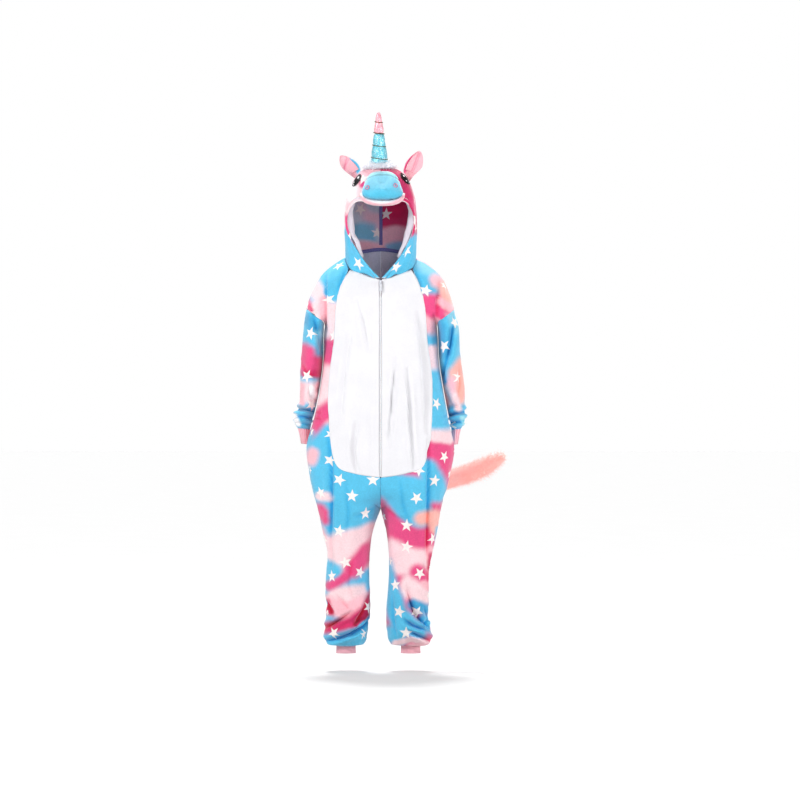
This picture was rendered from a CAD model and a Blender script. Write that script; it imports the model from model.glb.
# Unicorn onesie in printed fleece: white belly, hood with a stuffed face and horn, rib cuffs, plush tail.
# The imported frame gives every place. This script gives the cloth its folds, print, pile and sewing.
import math
import random

import bmesh
import bpy
import numpy as np
from mathutils import Matrix, Vector
from mathutils.bvhtree import BVHTree
from mathutils.kdtree import KDTree


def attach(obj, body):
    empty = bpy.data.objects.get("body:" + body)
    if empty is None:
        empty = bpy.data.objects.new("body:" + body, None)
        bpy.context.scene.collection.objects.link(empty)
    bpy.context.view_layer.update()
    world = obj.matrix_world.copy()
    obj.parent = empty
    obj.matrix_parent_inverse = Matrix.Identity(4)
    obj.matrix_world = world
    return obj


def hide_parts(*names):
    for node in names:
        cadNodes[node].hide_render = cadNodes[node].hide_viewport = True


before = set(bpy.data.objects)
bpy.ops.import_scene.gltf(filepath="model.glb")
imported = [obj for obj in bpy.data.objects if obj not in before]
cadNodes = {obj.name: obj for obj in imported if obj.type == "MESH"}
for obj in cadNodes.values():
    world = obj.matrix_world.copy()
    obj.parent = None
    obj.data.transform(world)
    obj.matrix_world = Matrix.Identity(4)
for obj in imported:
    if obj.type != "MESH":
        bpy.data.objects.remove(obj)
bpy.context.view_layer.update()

neckHeight = 1.360  # tables give heights above the wearer's soles, the frame's origin is this far up
cameraPlace = {"across": 0.064, "away": 14.0, "height": 0.900, "viewWidth": 2.66}


def linear(hexCode):
    # a screen colour's code as linear light
    parts = [int(hexCode[i : i + 2], 16) / 255 for i in (1, 3, 5)]
    return [c / 12.92 if c <= 0.04045 else ((c + 0.055) / 1.055) ** 2.4 for c in parts] + [1.0]


def addNode(tree, kind, inputs=None, out=0, feeds=None, **settings):
    # one shader node; a socket given as an input is linked, and feeds is a socket that this one goes into
    made = tree.nodes.new("ShaderNode" + kind)
    for key, value in settings.items():
        setattr(made, key, value)
    for key, value in (inputs or {}).items():
        if isinstance(value, bpy.types.NodeSocket):
            tree.links.new(value, made.inputs[key])
        else:
            made.inputs[key].default_value = value
    if feeds:
        tree.links.new(made.outputs[out], feeds)
    return made.outputs[out]


def newMaterial(name, **sockets):
    # a Principled material; an underscore stands for each space in a socket's name
    material = bpy.data.materials.new(name)
    material.use_nodes = True
    tree = material.node_tree
    shader = tree.nodes["Principled BSDF"]
    for key, value in sockets.items():
        shader.inputs[key.replace("_", " ")].default_value = value
    return material, tree, shader


def softStep(value, low, high):
    # 0 up to low, 1 from high on, eased between
    share = np.clip((value - low) / (high - low), 0, 1)
    return share * share * (3 - 2 * share)


def clouds(points, size, seed):
    # smooth lattice noise from -1 to 1 over points, size in metres
    table = np.random.default_rng(seed).random(4099) * 2 - 1
    place = points / size + 1000
    cell = np.floor(place).astype(np.int64)
    part = place - cell
    part = part * part * (3 - 2 * part)
    total = np.zeros(len(points))
    for corner in range(8):
        step = np.array([corner & 1, corner >> 1 & 1, corner >> 2 & 1])
        key = (cell + step) @ np.array([73856093, 19349663, 83492791])
        weight = np.prod(np.where(step, part, 1 - part), axis=1)
        total += weight * table[key % 4099]
    return total


def seenFrom(points):
    # where the camera sees each point against the plane through the neck: across, height above the soles
    share = cameraPlace["away"] / (cameraPlace["away"] + points[:, 1])
    across = cameraPlace["across"] + (points[:, 0] - cameraPlace["across"]) * share
    height = cameraPlace["height"] + (points[:, 2] + neckHeight - cameraPlace["height"]) * share
    return across, height


# what the cloth is, and how coarse its own texture is, in metres; the pile is drawn coarser than the
# real 1 mm so that it shows
fleeceFeel = {"pile": 0.0018, "tufts": 0.0055, "swirls": 0.035, "sheen": 0.35, "sheenRoughness": 0.45}


def finishFleece(tree, shader, colour, depth=1.0, coarser=1.0, mottle=0.12):
    place = addNode(tree, "TexCoord", out="Object")
    tuftSize, pileSize = fleeceFeel["tufts"] * coarser, fleeceFeel["pile"] * coarser
    tufts = addNode(tree, "TexNoise", {0: place, "Scale": 1 / tuftSize, "Detail": 3.0})
    swirls = addNode(tree, "TexNoise", {0: place, "Scale": 1 / fleeceFeel["swirls"], "Detail": 2.0})
    pile = addNode(tree, "TexNoise", {0: place, "Scale": 1 / pileSize, "Detail": 2.0})
    span = {"From Min": 0.3, "From Max": 0.7}
    light = addNode(tree, "MapRange", {"Value": tufts, "To Min": 1 - mottle, **span})
    wide = addNode(tree, "MapRange", {"Value": swirls, "To Min": 1 - 0.6 * mottle, **span})
    both = addNode(tree, "Math", {0: light, 1: wide}, operation="MULTIPLY")
    grey = addNode(tree, "CombineColor", {0: both, 1: both, 2: both})
    mixed = {"data_type": "RGBA", "blend_type": "MULTIPLY", "feeds": shader.inputs["Base Color"]}
    addNode(tree, "Mix", {0: 1.0, 6: colour, 7: grey}, out=2, **mixed)
    low = addNode(tree, "Bump", {"Height": tufts, "Strength": 0.30 * depth, "Distance": 0.0016})
    fine = {"Height": pile, "Strength": 0.45 * depth, "Distance": 0.0007, "Normal": low}
    addNode(tree, "Bump", fine, feeds=shader.inputs["Normal"])


def starMask(tree):
    # a five-point star with softly printed edges, drawn where the starPlace map runs from -1 to 1
    place = addNode(tree, "UVMap", uv_map="starPlace")
    apart = addNode(tree, "SeparateXYZ", {0: place}).node
    u, v = apart.outputs[0], apart.outputs[1]
    uu = addNode(tree, "Math", {0: u, 1: u}, operation="MULTIPLY")
    vv = addNode(tree, "Math", {0: v, 1: v}, operation="MULTIPLY")
    radius = addNode(tree, "Math", {0: addNode(tree, "Math", {0: uu, 1: vv})}, operation="SQRT")
    turn = addNode(tree, "Math", {0: u, 1: v}, operation="ARCTAN2")
    wedge = 2 * math.pi / 5
    moved = addNode(tree, "Math", {0: turn, 1: wedge / 2})
    folded = addNode(tree, "Math", {0: moved, 1: wedge}, operation="FLOORED_MODULO")
    centred = addNode(tree, "Math", {0: folded, 1: wedge / 2}, operation="SUBTRACT")
    angle = addNode(tree, "Math", {0: centred}, operation="ABSOLUTE")
    cosine = addNode(tree, "Math", {0: angle}, operation="COSINE")
    sine = addNode(tree, "Math", {0: angle}, operation="SINE")
    along = addNode(tree, "Math", {0: radius, 1: cosine}, operation="MULTIPLY")
    across = addNode(tree, "Math", {0: radius, 1: sine}, operation="MULTIPLY")
    # the star's edge runs from a point, one radius out, to a valley between two points
    valley = 0.42
    valleyX, valleyY = valley * math.cos(wedge / 2), valley * math.sin(wedge / 2)
    length = math.hypot(valleyY, 1 - valleyX)
    towards = addNode(tree, "Math", {0: along, 1: 1.0}, operation="SUBTRACT")
    first = addNode(tree, "Math", {0: towards, 1: valleyY / length}, operation="MULTIPLY")
    second = addNode(tree, "Math", {0: across, 1: (1 - valleyX) / length}, operation="MULTIPLY")
    offEdge = addNode(tree, "Math", {0: first, 1: second})
    ragged = addNode(tree, "TexNoise", {0: addNode(tree, "TexCoord", out="Object"), "Scale": 350.0})
    ragged = addNode(tree, "MapRange", {"Value": ragged, "To Min": -0.05, "To Max": 0.05})
    offEdge = addNode(tree, "Math", {0: offEdge, 1: ragged})
    blurred = {"Value": offEdge, "From Min": 0.04, "From Max": -0.04}
    return addNode(tree, "MapRange", blurred, interpolation_type="SMOOTHSTEP")


def makePrintedFleece():
    # flannel fleece, brushed polyester: dyed patches blur into one another, stars are left white
    material, tree, shader = newMaterial("printedFlannelFleece", Roughness=0.95)
    shader.inputs["Sheen Weight"].default_value = fleeceFeel["sheen"]
    shader.inputs["Sheen Roughness"].default_value = fleeceFeel["sheenRoughness"]
    dyed = addNode(tree, "Attribute", attribute_name="print")
    white = linear("#FFF6F2")
    colour = addNode(tree, "Mix", {0: starMask(tree), 6: dyed, 7: white}, out=2, data_type="RGBA")
    finishFleece(tree, shader, colour)
    return material


def makePlainFleece(name, hexCode, other, sheen=0.25, depth=1.0, mottle=0.12):
    # one dyed fleece: its colour shifts a little where the pile lies another way
    material, tree, shader = newMaterial(name, Roughness=0.95, Sheen_Weight=sheen, Sheen_Roughness=0.5)
    place = addNode(tree, "TexCoord", out="Object")
    lie = addNode(tree, "TexNoise", {0: place, "Scale": 14.0, "Detail": 2.0})
    colour = addNode(tree, "Mix", {0: lie, 6: linear(hexCode), 7: linear(other)}, out=2, data_type="RGBA")
    finishFleece(tree, shader, colour, depth, mottle=mottle)
    return material


def makePaintedPlush(name, sheen=0.4):
    # velboa, a dense short plush: colours lie in the piece's own attribute
    material, tree, shader = newMaterial(name, Roughness=0.85, Sheen_Weight=sheen, Sheen_Roughness=0.35)
    finishFleece(tree, shader, addNode(tree, "Attribute", attribute_name="print"), 1.3, 0.8)
    return material


def makeRib():
    # 1x1 rib knit: upright ridges, real ones 2.5 mm apart and drawn 4 mm, with rows of loops across
    material, tree, shader = newMaterial("ribKnitCotton", Roughness=0.92, Sheen_Weight=0.12)
    ribApart, rowApart = 0.004, 0.0022
    apart = addNode(tree, "SeparateXYZ", {0: addNode(tree, "UVMap", uv_map="cloth")}).node
    around = addNode(tree, "Math", {0: apart.outputs[0], 1: 2 * math.pi / ribApart}, operation="MULTIPLY")
    along = addNode(tree, "Math", {0: apart.outputs[1], 1: 2 * math.pi / rowApart}, operation="MULTIPLY")
    ridge = addNode(tree, "Math", {0: around}, operation="SINE")
    loops = addNode(tree, "Math", {0: along}, operation="SINE")
    share = addNode(tree, "MapRange", {"Value": ridge, "From Min": -1.0, "From Max": 0.6})
    pinks = {0: share, 6: linear("#EE93A6"), 7: linear("#FFC9D2")}
    addNode(tree, "Mix", pinks, out=2, data_type="RGBA", feeds=shader.inputs["Base Color"])
    low = addNode(tree, "Bump", {"Height": ridge, "Strength": 0.8, "Distance": 0.0008})
    fine = {"Height": loops, "Strength": 0.3, "Distance": 0.0003, "Normal": low}
    addNode(tree, "Bump", fine, feeds=shader.inputs["Normal"])
    return material


def makeWoven(name, dark, light, spacing, roughness=0.75):
    # woven tape: fine slanting ribs of a twill, spacing in metres
    material, tree, shader = newMaterial(name, Roughness=roughness)
    place = addNode(tree, "TexCoord", out="Object")
    wave = {0: place, "Scale": 0.31 / spacing, "Distortion": 0.5}
    ribs = addNode(tree, "TexWave", wave, out=1, bands_direction="DIAGONAL")
    tones = {0: ribs, 6: linear(dark), 7: linear(light)}
    addNode(tree, "Mix", tones, out=2, data_type="RGBA", feeds=shader.inputs["Base Color"])
    relief = {"Height": ribs, "Strength": 0.5, "Distance": 0.0003}
    addNode(tree, "Bump", relief, feeds=shader.inputs["Normal"])
    return material


def makeGlitter(name, base, other, flakes=0.0016):
    # foil-flecked lame: small flakes, each tipped its own way and tinted its own way, so it sparkles
    material, tree, shader = newMaterial(name, Roughness=0.32, Metallic=0.25, Coat_Weight=0.3)
    shader.inputs["Coat Roughness"].default_value = 0.3
    place = addNode(tree, "TexCoord", out="Object")
    cells = addNode(tree, "TexVoronoi", {0: place, "Scale": 1 / flakes}, out="Color")
    apart = addNode(tree, "SeparateColor", {0: cells}).node
    tints = {0: apart.outputs[0], 6: linear(base), 7: linear(other)}
    tint = addNode(tree, "Mix", tints, out=2, data_type="RGBA")
    spark = addNode(tree, "MapRange", {"Value": apart.outputs[1], "From Min": 0.86, "From Max": 0.98})
    lit = {0: spark, 6: tint, 7: linear("#FFFFFF")}
    addNode(tree, "Mix", lit, out=2, data_type="RGBA", feeds=shader.inputs["Base Color"])
    wrinkles = addNode(tree, "TexNoise", {0: place, "Scale": 90.0, "Detail": 2.0})
    low = addNode(tree, "Bump", {"Height": wrinkles, "Strength": 0.4, "Distance": 0.003})
    fine = {"Height": apart.outputs[2], "Strength": 0.5, "Distance": 0.0009, "Normal": low}
    addNode(tree, "Bump", fine, feeds=shader.inputs["Normal"])
    return material


def makeThread():
    # twisted metallic thread: slanting strands, half of them catching the light
    material, tree, shader = newMaterial("goldMetallicThread", Roughness=0.35, Metallic=0.75)
    place = addNode(tree, "TexCoord", out="Object")
    twist = addNode(tree, "TexWave", {0: place, "Scale": 320.0}, out=1, bands_direction="DIAGONAL")
    tones = {0: twist, 6: linear("#2B230D"), 7: linear("#8A7434")}
    addNode(tree, "Mix", tones, out=2, data_type="RGBA", feeds=shader.inputs["Base Color"])
    relief = {"Height": twist, "Strength": 0.6, "Distance": 0.0003}
    addNode(tree, "Bump", relief, feeds=shader.inputs["Normal"])
    return material


def makeFur(name, root, tip, patch, passed, glow, sheen=0.4):
    # long-pile faux fur, acrylic: darker at the root, patches of it differ a little, light comes through it
    material, tree, shader = newMaterial(name, Roughness=0.6, Sheen_Weight=sheen, Sheen_Roughness=0.4)
    shader.inputs["Subsurface Weight"].default_value = 0.85
    # a little glow stands for the light passed on from hair to hair
    shader.inputs["Emission Color"].default_value = linear(passed)
    shader.inputs["Emission Strength"].default_value = glow
    shader.inputs["Subsurface Radius"].default_value = (1.0, 0.75, 0.7)
    shader.inputs["Subsurface Scale"].default_value = 0.005
    place = addNode(tree, "TexCoord", out="Object")
    share = addNode(tree, "Attribute", out="Fac", attribute_name="strand")
    patches = addNode(tree, "TexNoise", {0: place, "Scale": 24.0, "Detail": 2.0})
    patches = addNode(tree, "MapRange", {"Value": patches, "From Min": 0.35, "From Max": 0.7})
    ends = addNode(tree, "Mix", {0: patches, 6: linear(tip), 7: linear(patch)}, out=2, data_type="RGBA")
    tones = {0: share, 6: linear(root), 7: ends}
    addNode(tree, "Mix", tones, out=2, data_type="RGBA", feeds=shader.inputs["Base Color"])
    fine = addNode(tree, "TexNoise", {0: place, "Scale": 500.0})
    relief = {"Height": fine, "Strength": 0.3, "Distance": 0.0006}
    addNode(tree, "Bump", relief, feeds=shader.inputs["Normal"])
    return material


def makeHard(name, dark, light, coat=0.0, roughness=0.35):
    # moulded or enamelled: smooth, a little uneven where it was cast and where fingers rub it
    material, tree, shader = newMaterial(name, Roughness=roughness, Coat_Weight=coat)
    place = addNode(tree, "TexCoord", out="Object")
    rubbed = addNode(tree, "TexNoise", {0: place, "Scale": 380.0, "Detail": 3.0})
    tones = {0: rubbed, 6: linear(dark), 7: linear(light)}
    addNode(tree, "Mix", tones, out=2, data_type="RGBA", feeds=shader.inputs["Base Color"])
    relief = {"Height": rubbed, "Strength": 0.15, "Distance": 0.0002}
    addNode(tree, "Bump", relief, feeds=shader.inputs["Normal"])
    return material


def makeSatinStitch():
    # satin-stitch embroidery: close shiny threads, their colours in the piece's own attribute
    material, tree, shader = newMaterial("satinStitchEmbroidery", Roughness=0.40, Specular_IOR_Level=0.22)
    place = addNode(tree, "TexCoord", out="Object")
    threads = {0: place, "Scale": 300.0, "Distortion": 0.6}
    stitches = addNode(tree, "TexWave", threads, out=1, bands_direction="DIAGONAL")
    addNode(tree, "Attribute", attribute_name="print", feeds=shader.inputs["Base Color"])
    relief = {"Height": stitches, "Strength": 0.5, "Distance": 0.0003}
    addNode(tree, "Bump", relief, feeds=shader.inputs["Normal"])
    return material


finishes = {
    "print": makePrintedFleece(),
    "belly": makePlainFleece("whiteFlannelFleece", "#E1E0E4", "#EAE9ED", 0.05, 0.5, 0.03),
    "facing": makePlainFleece("whiteFlannelFacing", "#C9C2CE", "#DED8E2", 0.15, 0.6, 0.04),
    "plush": makePaintedPlush("velboaPlush", 0.8),
    "rib": makeRib(),
    "tape": makeWoven("navyTwillTape", "#504E92", "#8885BE", 0.0014),
    "zipTape": makeWoven("whiteZipTape", "#E3E4EA", "#FBFBFD", 0.0012),
    "hornBase": makeGlitter("cyanFoilLame", "#3FB2CC", "#7FD6E4"),
    "hornTip": makeGlitter("pinkFoilLame", "#F58FA5", "#FFBCC6"),
    "thread": makeThread(),
    "tail": makeFur("coralFauxFur", "#FFB8AE", "#FFDCD5", "#FFC8BF", "#FFA79C", 0.22),
    "tuft": makeFur("whiteFauxFur", "#F1EEF6", "#FFFFFF", "#FBF8FF", "#EDF3FF", 0.12, 0.6),
    "teeth": makeHard("mouldedAcetalTeeth", "#E6E7EC", "#FFFFFF"),
    "enamel": makeHard("whiteEnamelledZinc", "#C3C6D0", "#F1F2F6", 0.5, 0.28),
    "stitch": makeSatinStitch(),
}
print("materials made:", len(finishes))

# The print's dyes, and those of the face
dyes = {
    "cyan": "#58C3EA",
    "sky": "#8AD6F0",
    "ice": "#A2E6F4",
    "blue": "#3FA8D8",
    "pale": "#FFDCE1",
    "pink": "#FFC0CB",
    "peach": "#FFB9AE",
    "hot": "#EA4C86",
    "magenta": "#D82C69",
    "crimson": "#B21450",
    "white": "#FDFBFD",
    "dusk": "#93B4CF",
    "shade": "#CFE0F0",
    "lining": "#EFE6FA",
    "mauve": "#F3CDE0",
    "wine": "#DD0F5A",
    "rose": "#FFC2D2",
    "black": "#07070A",
    "aqua": "#4FC3E6",
    "violet": "#8E4C92",
}
dyes = {name: np.array(linear(code)[:3]) for name, code in dyes.items()}

# How each panel was cut from the print, base first. bands: from this height down, this dye (9 takes in the
# whole panel); they slant by slope. strokes: dye, half width, then places along it by across and height; a
# number strews that many.
printCut = {
    "front_right": {
        "bands": [(9, "cyan"), (1.224, "pale"), (1.105, "hot"), (1.020, "pale"), (0.822, "cyan")],
        "strokes": [
            ("pale", 0.024, (-0.239, 1.304), (-0.196, 1.231), (-0.193, 1.171)),
            ("cyan", 0.016, (-0.167, 1.310), (-0.177, 1.257)),
            ("pink", 0.012, (-0.193, 1.231), (-0.190, 1.165)),
            ("hot", 0.015, (-0.259, 1.257), (-0.243, 1.211)),
            ("magenta", 0.006, (-0.236, 1.211), (-0.226, 1.198)),
            ("hot", 0.027, (-0.153, 0.888), (-0.203, 0.842), (-0.256, 0.782)),
            ("cyan", 0.040, (-0.157, 0.769), (-0.200, 0.643)),
            ("cyan", 0.020, (-0.246, 0.782), (-0.246, 0.749)),
            ("pink", 0.022, (-0.229, 0.719), (-0.233, 0.703)),
            ("cyan", 0.010, (-0.173, 0.670), (-0.177, 0.611)),
            ("pale", 0.014, (-0.206, 0.584), (-0.170, 0.578)),
            ("hot", 0.022, (-0.206, 0.538), (-0.180, 0.505)),
            ("pink", 0.022, (-0.206, 0.459), (-0.183, 0.412)),
            ("cyan", 0.060, (-0.117, 0.617), (-0.054, 0.597)),
            ("cyan", 0.060, (-0.114, 0.521), (-0.061, 0.531)),
            ("pale", 0.070, (-0.140, 0.386), (-0.068, 0.406), (-0.021, 0.422)),
            ("cyan", 0.030, (-0.180, 0.337), (-0.153, 0.317)),
            ("cyan", 0.016, (-0.035, 0.320), (-0.054, 0.294)),
            ("pale", 0.042, (-0.140, 0.241), (-0.061, 0.247)),
            ("cyan", 0.014, (-0.038, 0.323), (-0.038, 0.267)),
            ("hot", 0.020, (-0.008, 0.436), (-0.041, 0.399)),
            ("hot", 0.030, (-0.048, 0.386), (-0.094, 0.337)),
            ("hot", 0.017, (-0.117, 0.310), (-0.173, 0.284)),
            ("cyan", 0.022, (-0.183, 0.346), (-0.153, 0.333)),
            ("pink", 0.030, (-0.183, 0.221), (-0.114, 0.195), (-0.048, 0.228)),
            ("magenta", 0.020, (-0.028, 0.247), (-0.048, 0.201), (-0.094, 0.162), (-0.153, 0.145),
             (-0.186, 0.142)),
            ("magenta", 0.012, (-0.180, 0.228), (-0.167, 0.195)),
            ("crimson", 0.008, (-0.035, 0.221), (-0.054, 0.175), (-0.081, 0.152)),
            ("cyan", 0.022, (-0.193, 0.083), (-0.127, 0.092), (-0.074, 0.109), (-0.015, 0.148)),
            ("hot", 0.006, (-0.041, 0.116), (-0.041, 0.102)),
        ],
    },
    "front_left": {
        "bands": [
            (9, "cyan"), (1.257, "hot"), (1.185, "pink"), (1.119, "cyan"), (1.082, "pale"),
            (1.000, "cyan"), (0.802, "pale"), (0.766, "hot"),
        ],
        "strokes": [
            ("dusk", 0.030, (0.064, 1.337), (0.097, 1.280)),
            ("sky", 0.030, (0.144, 1.356), (0.190, 1.330)),
            ("pink", 0.019, (0.180, 1.297), (0.213, 1.284)),
            ("peach", 0.030, (0.219, 1.270), (0.229, 1.231)),
            ("pink", 0.013, (0.196, 1.231), (0.236, 1.204)),
            ("hot", 0.020, (0.163, 1.218), (0.177, 1.191)),
            ("hot", 0.012, (0.190, 1.204), (0.206, 1.175)),
            ("pale", 0.012, (0.173, 1.073), (0.183, 1.026)),
            ("pale", 0.014, (0.177, 0.779), (0.229, 0.769)),
            ("hot", 0.021, (0.163, 0.743), (0.210, 0.726), (0.249, 0.683)),
            ("hot", 0.018, (0.246, 0.670), (0.233, 0.617)),
            ("cyan", 0.036, (0.157, 0.670), (0.190, 0.597)),
            ("pink", 0.012, (0.236, 0.597), (0.216, 0.551)),
            ("cyan", 0.060, (0.031, 0.604), (0.117, 0.584)),
            ("cyan", 0.045, (0.078, 0.544), (0.130, 0.518)),
            ("peach", 0.024, (0.134, 0.505), (0.183, 0.511)),
            ("peach", 0.016, (0.173, 0.485), (0.177, 0.465)),
            ("pale", 0.062, (0.058, 0.386), (0.130, 0.373)),
            ("pale", 0.045, (0.104, 0.280), (0.144, 0.261)),
            ("hot", 0.028, (-0.008, 0.544), (0.018, 0.515), (0.054, 0.469), (0.097, 0.439), (0.157, 0.429)),
            ("hot", 0.020, (0.008, 0.518), (0.021, 0.478)),
            ("cyan", 0.010, (0.190, 0.472), (0.186, 0.422)),
            ("pink", 0.014, (0.163, 0.399), (0.177, 0.373)),
            ("hot", 0.025, (0.120, 0.330), (0.140, 0.317)),
            ("pink", 0.012, (0.144, 0.287), (0.163, 0.274)),
            ("magenta", 0.010, (0.170, 0.386), (0.167, 0.346)),
            ("cyan", 0.020, (0.018, 0.353), (0.038, 0.274)),
            ("cyan", 0.036, (0.038, 0.241), (0.064, 0.162)),
            ("cyan", 0.030, (0.084, 0.168), (0.124, 0.129)),
            ("blue", 0.018, (0.107, 0.221), (0.150, 0.205)),
            ("cyan", 0.022, (0.144, 0.168), (0.177, 0.142)),
            ("cyan", 0.030, (0.025, 0.122), (0.058, 0.109)),
            ("pale", 0.010, (0.045, 0.092), (0.104, 0.102), (0.157, 0.092)),
            ("pink", 0.012, (0.097, 0.076), (0.170, 0.083)),
        ],
    },
    "sleeve_right": {
        "slope": 0.3,
        "bands": [(9, "cyan")],
        "strokes": [
            ("blue", 0.020, (-0.246, 1.171), (-0.213, 1.139)),
            ("sky", 0.016, (-0.206, 1.119), (-0.193, 1.073)),
            ("hot", 0.034, (-0.279, 1.033), (-0.226, 1.013), (-0.173, 1.000)),
            ("hot", 0.026, (-0.266, 1.066), (-0.246, 1.059)),
            ("magenta", 0.012, (-0.252, 0.987), (-0.200, 0.987)),
            ("pale", 0.036, (-0.279, 0.927), (-0.226, 0.924), (-0.180, 0.921)),
            ("white", 0.010, (-0.233, 0.941), (-0.226, 0.911)),
            ("pink", 0.010, (-0.262, 0.947), (-0.262, 0.888)),
            ("pink", 0.009, (-0.206, 0.954), (-0.196, 0.901)),
            ("dusk", 0.009, (-0.272, 0.878), (-0.246, 0.865)),
            ("cyan", 0.030, (-0.299, 0.835), (-0.226, 0.835), (-0.180, 0.842)),
            ("white", 0.010, (-0.289, 0.848), (-0.276, 0.822)),
        ],
    },
    "sleeve_left": {
        "bands": [(9, "cyan")],
        "strokes": [
            ("blue", 0.020, (0.196, 1.145), (0.203, 1.059)),
            ("sky", 0.016, (0.236, 1.191), (0.252, 1.132)),
            ("blue", 0.010, (0.236, 1.132), (0.226, 1.059)),
            ("peach", 0.024, (0.272, 1.020), (0.246, 0.987)),
            ("pink", 0.040, (0.282, 0.950), (0.236, 0.934), (0.196, 0.921)),
            ("pale", 0.016, (0.210, 0.934), (0.226, 0.894)),
            ("peach", 0.018, (0.269, 0.974), (0.266, 0.907)),
            ("pale", 0.012, (0.246, 0.914), (0.256, 0.874)),
            ("blue", 0.008, (0.200, 0.993), (0.210, 0.960)),
            ("cyan", 0.026, (0.210, 0.828), (0.289, 0.822)),
            ("ice", 0.009, (0.269, 0.842), (0.289, 0.808)),
        ],
    },
    "back_right": {
        "slope": -0.3,
        "bands": [
            (9, "cyan"), (1.270, "pale"), (1.170, "hot"), (1.050, "cyan"), (0.900, "pink"),
            (0.800, "magenta"), (0.700, "cyan"), (0.560, "pale"), (0.440, "hot"), (0.340, "cyan"),
            (0.190, "pale"), (0.115, "hot"),
        ],
        "strokes": 9,
    },
    "back_left": {
        "slope": 0.25,
        "bands": [
            (9, "pale"), (1.300, "hot"), (1.190, "cyan"), (1.040, "pale"), (0.950, "magenta"),
            (0.850, "cyan"), (0.700, "pink"), (0.610, "cyan"), (0.480, "hot"), (0.380, "pale"),
            (0.270, "cyan"), (0.140, "pink"),
        ],
        "strokes": 9,
    },
    "hood_right": {
        "bands": [(9, "pink"), (1.620, "pale"), (1.475, "cyan")],
        "strokes": [
            ("white", 0.014, (-0.094, 1.607), (-0.094, 1.561)),
            ("pink", 0.016, (-0.101, 1.541), (-0.094, 1.508)),
            ("hot", 0.010, (-0.118, 1.512), (-0.100, 1.470), (-0.083, 1.436)),
            ("sky", 0.014, (-0.028, 1.693), (-0.048, 1.700)),
            ("hot", 0.010, (-0.061, 1.633), (-0.061, 1.614)),
        ],
    },
    "hood_left": {
        "bands": [(9, "magenta"), (1.580, "hot"), (1.500, "magenta"), (1.455, "cyan")],
        "strokes": [
            ("magenta", 0.026, (0.071, 1.653), (0.084, 1.587)),
            ("pink", 0.014, (0.112, 1.625), (0.120, 1.590)),
            ("pink", 0.010, (0.051, 1.686), (0.038, 1.693)),
        ],
    },
    "hood_edge_right": {"bands": [(9, "sky"), (1.574, "pale"), (1.518, "hot"), (1.429, "cyan")]},
    "hood_edge_left": {"bands": [(9, "hot"), (1.574, "magenta"), (1.442, "cyan")]},
    "ear_outer_right": {"bands": [(9, "cyan")]},
    "ear_outer_left": {"bands": [(9, "hot")]},
}
# how softly the dyes meet and how far their edges wander, in metres; how plain the cloth's wrong side is
printCloth = {
    "soft": 0.0135,
    "wander": 0.005,
    "wanderSize": 0.055,
    "fray": 0.0014,
    "fraySize": 0.012,
    "wrongSide": 0.92,
    "seed": 11,
}

# the stars seen from the front by across and height; others are strewn this far apart over the rest.
# reach is how far a star's map goes; turnedToFront, how much those at the sides turn back to the front
stars = {
    "front": [
        (-0.074, 1.353), (-0.045, 1.363), (0.087, 1.396), (0.051, 1.343), (-0.140, 1.346),
        (0.167, 1.343), (-0.111, 1.294), (-0.177, 1.234), (-0.167, 0.700), (-0.246, 0.762),
        (-0.200, 0.591), (-0.234, 1.122), (-0.229, 0.884), (0.246, 1.158),
        (0.210, 1.079), (0.150, 1.264), (-0.157, 1.112), (0.186, 0.888), (0.167, 0.997),
        (-0.246, 0.980), (-0.138, 0.635), (-0.026, 0.634), (-0.096, 0.581), (-0.052, 0.523),
        (-0.138, 0.464), (-0.117, 0.360), (-0.069, 0.327), (-0.163, 0.314), (-0.157, 0.125),
        (-0.041, 0.211), (0.212, 0.711), (0.180, 0.632), (0.119, 0.574), (0.126, 0.667), (0.086, 0.483),
        (0.086, 0.412), (0.130, 0.323), (0.048, 0.285), (0.061, 0.196), (0.119, 0.195), (0.084, 0.125),
        (0.173, 0.439), (0.206, 0.561), (-0.068, 1.534), (-0.012, 1.455), (0.018, 1.518),
    ],
    "apart": 0.082,
    "turnedToFront": 0.45,
    "radius": 0.0220,
    "reach": 0.034,
    "seed": 5,
}

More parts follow.
